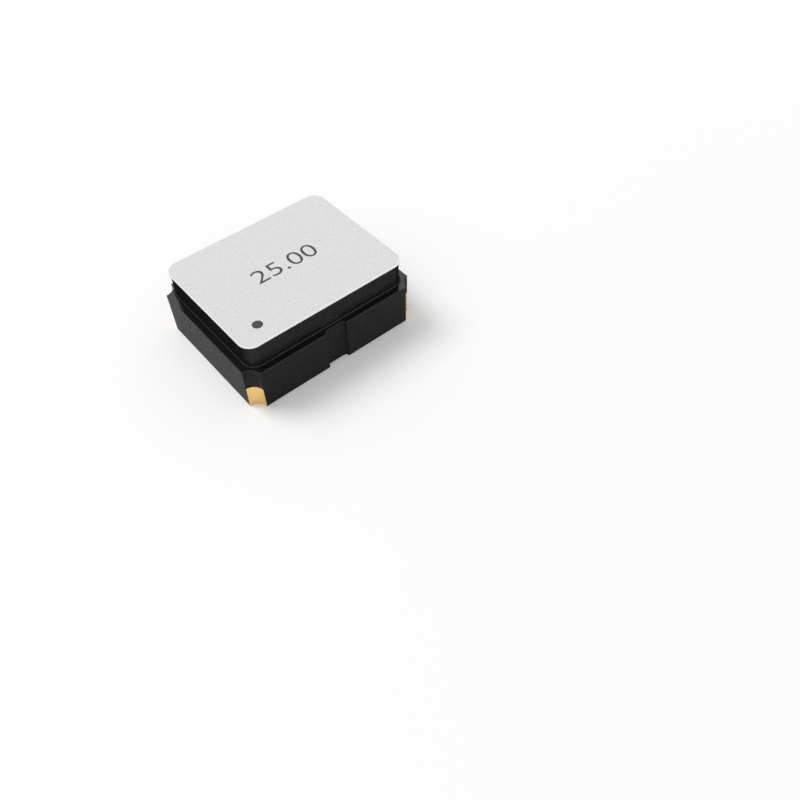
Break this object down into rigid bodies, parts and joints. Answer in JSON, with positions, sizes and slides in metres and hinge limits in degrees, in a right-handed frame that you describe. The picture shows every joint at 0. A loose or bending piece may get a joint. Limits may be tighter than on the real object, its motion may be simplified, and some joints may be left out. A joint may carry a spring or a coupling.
{
  "type": "crystal oscillator",
  "caption": "Surface-mount crystal clock oscillator: a black ceramic base with gold corner terminals, a seal ring and a flat nickel lid with a pin 1 dot.",
  "frame": {"origin": "middle of the underside, in the plane of the terminals that meets the board", "axes": "+X along the long side away from the pin 1 end, +Y across it away from the pin 1 side, +Z out of the lid"},
  "size_m": [0.0024, 0.002, 0.001],
  "materials": {
    "black_alumina": "co-fired black alumina, satin",
    "plated_gold": "matte electroplated gold over nickel and fired tungsten",
    "black_plating": "iron-nickel-cobalt alloy and silver braze under a satin black plating",
    "satin_nickel": "fine satin nickel plate on iron-nickel-cobalt alloy",
    "laser_mark": "dark grey laser mark",
    "quartz": "lapped quartz",
    "gold_film": "evaporated gold",
    "silver_adhesive": "cured silver-filled adhesive",
    "silicon": "ground back of a silicon die"
  },
  "bodies": {
    "root": {"ceramic_base": "black_alumina", "terminal_1": "plated_gold", "terminal_2": "plated_gold", "terminal_3": "plated_gold", "terminal_4": "plated_gold", "braze_joint": "black_plating", "seal_ring": "black_plating", "lid": "satin_nickel", "pin_one_mark": "laser_mark", "quartz_blank": "quartz", "electrode_top": "gold_film", "electrode_bottom": "gold_film", "adhesive_dot_1": "silver_adhesive", "adhesive_dot_2": "silver_adhesive", "mount_pad_1": "plated_gold", "mount_pad_2": "plated_gold", "oscillator_die": "silicon", "die_bump_1": "gold_film", "die_bump_2": "gold_film", "die_bump_3": "gold_film", "die_bump_4": "gold_film", "die_bump_5": "gold_film", "die_bump_6": "gold_film", "bond_pad_1": "plated_gold", "bond_pad_2": "plated_gold", "bond_pad_3": "plated_gold", "bond_pad_4": "plated_gold", "bond_pad_5": "plated_gold", "bond_pad_6": "plated_gold"}
  },
  "joints": []
}
